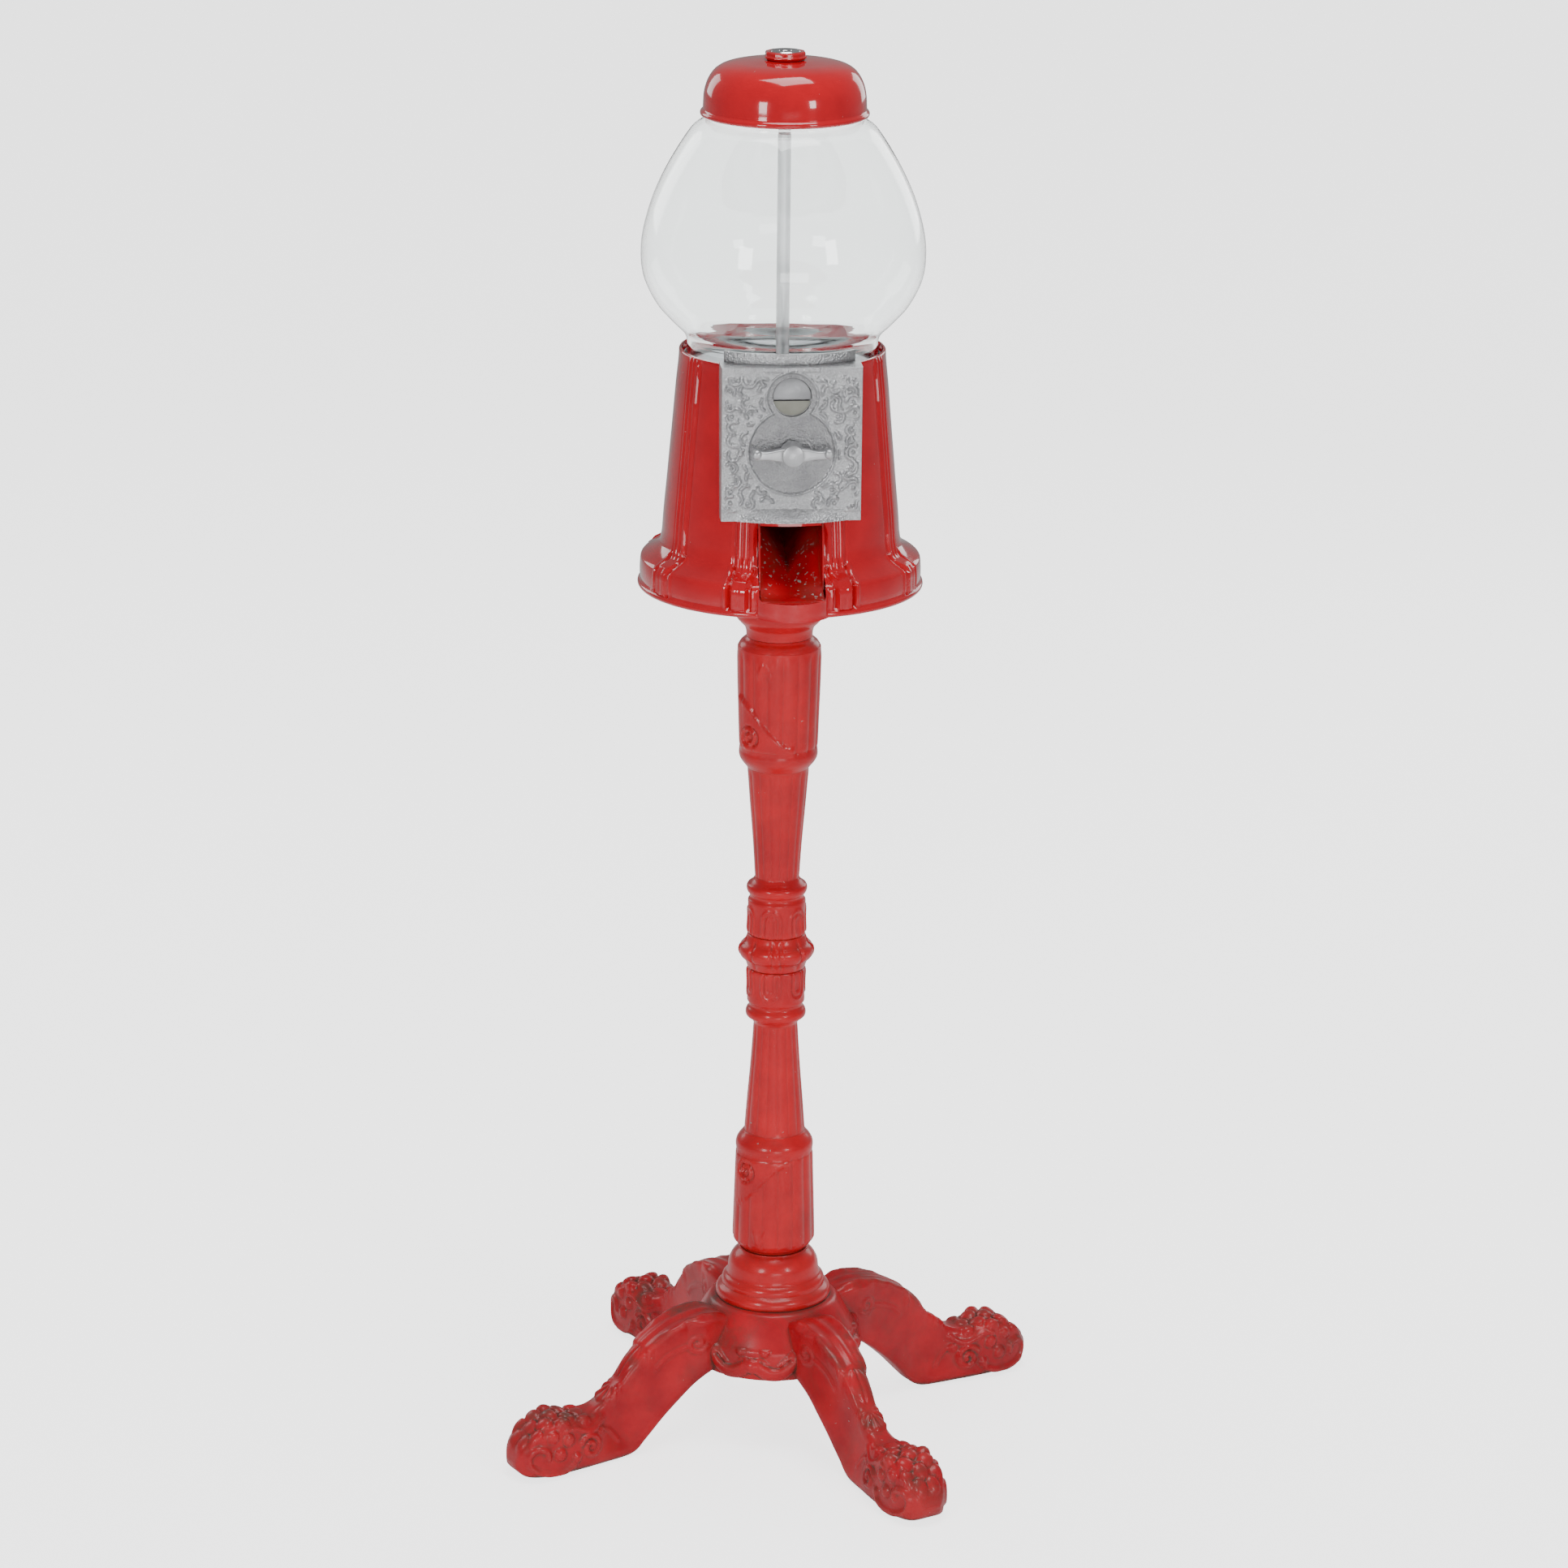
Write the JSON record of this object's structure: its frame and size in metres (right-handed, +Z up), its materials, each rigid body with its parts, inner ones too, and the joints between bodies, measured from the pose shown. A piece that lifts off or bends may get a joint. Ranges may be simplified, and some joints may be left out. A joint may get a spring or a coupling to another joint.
{
  "type": "capsule toy vendor",
  "caption": "Coin vendor for capsules and gumballs: glass globe with lift-off lid, ribbed body, coin plate with turn handle and chute, on a cast pedestal stand with paw feet.",
  "frame": {"origin": "on the floor under the column's axis", "axes": "+Z up along the column; the coin plate and chute face -Y; +X to the right of someone facing the coin plate"},
  "size_m": [0.377, 0.377, 0.95],
  "materials": {
    "gloss_red_paint": "gloss",
    "worn_red_paint": "worn satin with grime in the hollows",
    "cast_metal": "sandy cast",
    "zinc_steel": "dull zinc",
    "chrome": "polished",
    "brass": "machined",
    "clear_glass": "clear"
  },
  "bodies": {
    "machine": {"axle_bush": "brass", "base_bell": "worn_red_paint", "base_plate": "zinc_steel", "base_screw_1": "zinc_steel", "base_screw_2": "zinc_steel", "base_screw_3": "zinc_steel", "base_screw_4": "zinc_steel", "body": "gloss_red_paint", "centre_knuckle": "worn_red_paint", "centre_rod": "zinc_steel", "centre_rod_nut": "zinc_steel", "chute": "gloss_red_paint", "clamp_bar": "zinc_steel", "clamp_bolt_1": "zinc_steel", "clamp_bolt_2": "zinc_steel", "cross_strap": "zinc_steel", "front_plate": "cast_metal", "globe": "clear_glass", "hopper_pan": "cast_metal", "leg_casting": "worn_red_paint", "lower_column": "worn_red_paint", "mechanism_plate": "zinc_steel", "mechanism_screw_1": "zinc_steel", "mechanism_screw_2": "zinc_steel", "mechanism_screw_3": "zinc_steel", "mechanism_screw_4": "zinc_steel", "pawl_pin": "zinc_steel", "pawl_spring": "zinc_steel", "pocket_cover": "cast_metal", "strap_screw_left": "zinc_steel", "strap_screw_right": "zinc_steel", "tie_rod": "zinc_steel", "tie_rod_nut_lower": "zinc_steel", "tie_rod_nut_upper": "zinc_steel", "tie_rod_washer_lower": "zinc_steel", "tie_rod_washer_upper": "zinc_steel", "top_cup": "worn_red_paint", "upper_column": "worn_red_paint"},
    "handle": {"handle": "cast_metal", "axle": "zinc_steel", "axle_collar": "zinc_steel", "coin_wheel": "zinc_steel", "drive_pinion": "brass"},
    "ball_wheel": {"ball_wheel": "cast_metal"},
    "pawl": {"pawl": "zinc_steel"},
    "lid": {"lid": "gloss_red_paint", "lock_collar": "gloss_red_paint"},
    "lock": {"lock_cylinder": "chrome"}
  },
  "joints": [
    {"name": "handle_turn", "type": "hinge", "parent": "machine", "child": "handle", "pos_m": [0, -0.07, 0.703], "axis": [0, 1, 0], "continuous": true},
    {"name": "ball_wheel_turn", "type": "hinge", "parent": "machine", "child": "ball_wheel", "pos_m": [0, 0, 0.7124], "axis": [0, 0, 1], "continuous": true},
    {"name": "pawl_swing", "type": "hinge", "parent": "machine", "child": "pawl", "pos_m": [-0.02, -0.07, 0.6645], "axis": [0, -1, 0], "range_deg": [0, 12], "stiffness_Nm_per_rad": 0.002, "springref_deg": -11.46},
    {"name": "lid_lift", "type": "slide", "parent": "machine", "child": "lid", "axis": [0, 0, 1], "range_m": [0, 0.12]},
    {"name": "lock_turn", "type": "hinge", "parent": "lid", "child": "lock", "pos_m": [0, 0, 0.944], "axis": [0, 0, 1], "range_deg": [0, 90]}
  ],
  "couplings": [
    {"joint": "ball_wheel_turn", "follows": "handle_turn", "ratio": 0.16667}
  ]
}
